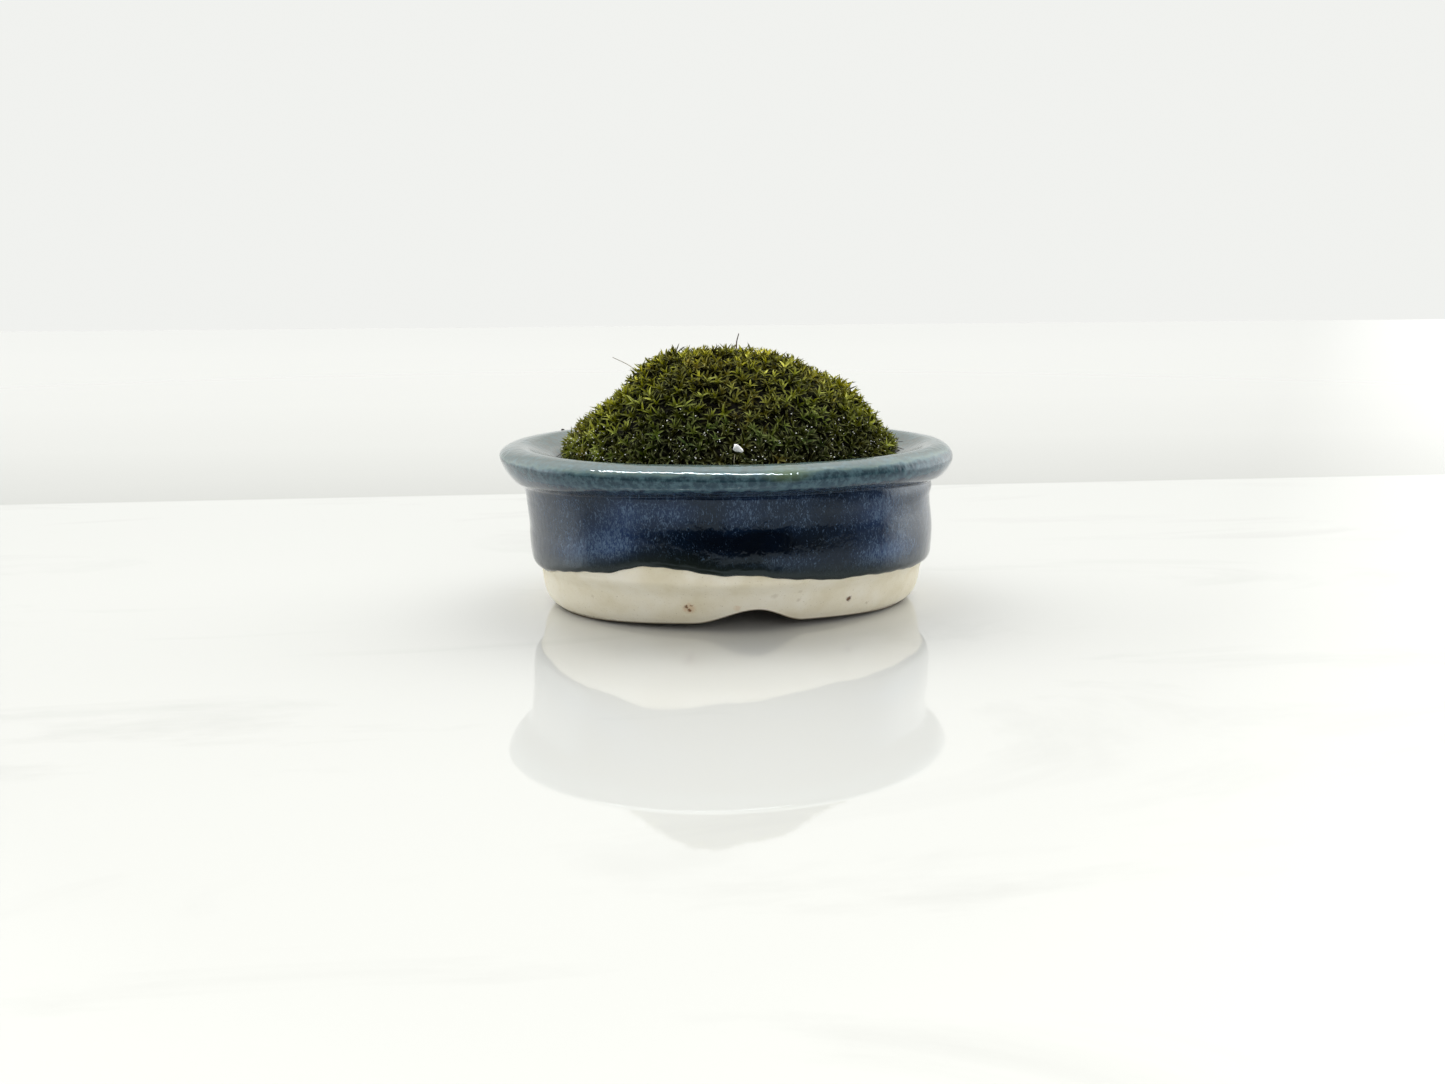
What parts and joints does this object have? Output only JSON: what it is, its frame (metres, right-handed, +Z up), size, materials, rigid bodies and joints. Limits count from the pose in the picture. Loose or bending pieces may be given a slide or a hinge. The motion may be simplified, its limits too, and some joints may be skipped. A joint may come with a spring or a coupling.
{
  "type": "potted moss clump",
  "caption": "Cushion of green moss growing on soil in a small oval glazed bonsai pot with an unglazed notched foot, resting on a flat surface.",
  "frame": {"origin": "on the surface that the pot stands on, under the middle of the pot's lip", "axes": "+Z up, X along the pot's length, -Y the side that faces the camera in the picture"},
  "size_m": [0.1, 0.0884, 0.0585],
  "materials": {
    "glaze": "polished",
    "soil": "matte",
    "moss": "matte",
    "pumice": "matte",
    "stalk_dark": "matte",
    "stalk_pale": "matte"
  },
  "bodies": {
    "root": {"pot": "glaze", "soil": "soil", "moss_cushion": "moss", "pumice_grain": "pumice", "seta_top": "stalk_dark", "seta_left": "stalk_pale"}
  },
  "joints": []
}
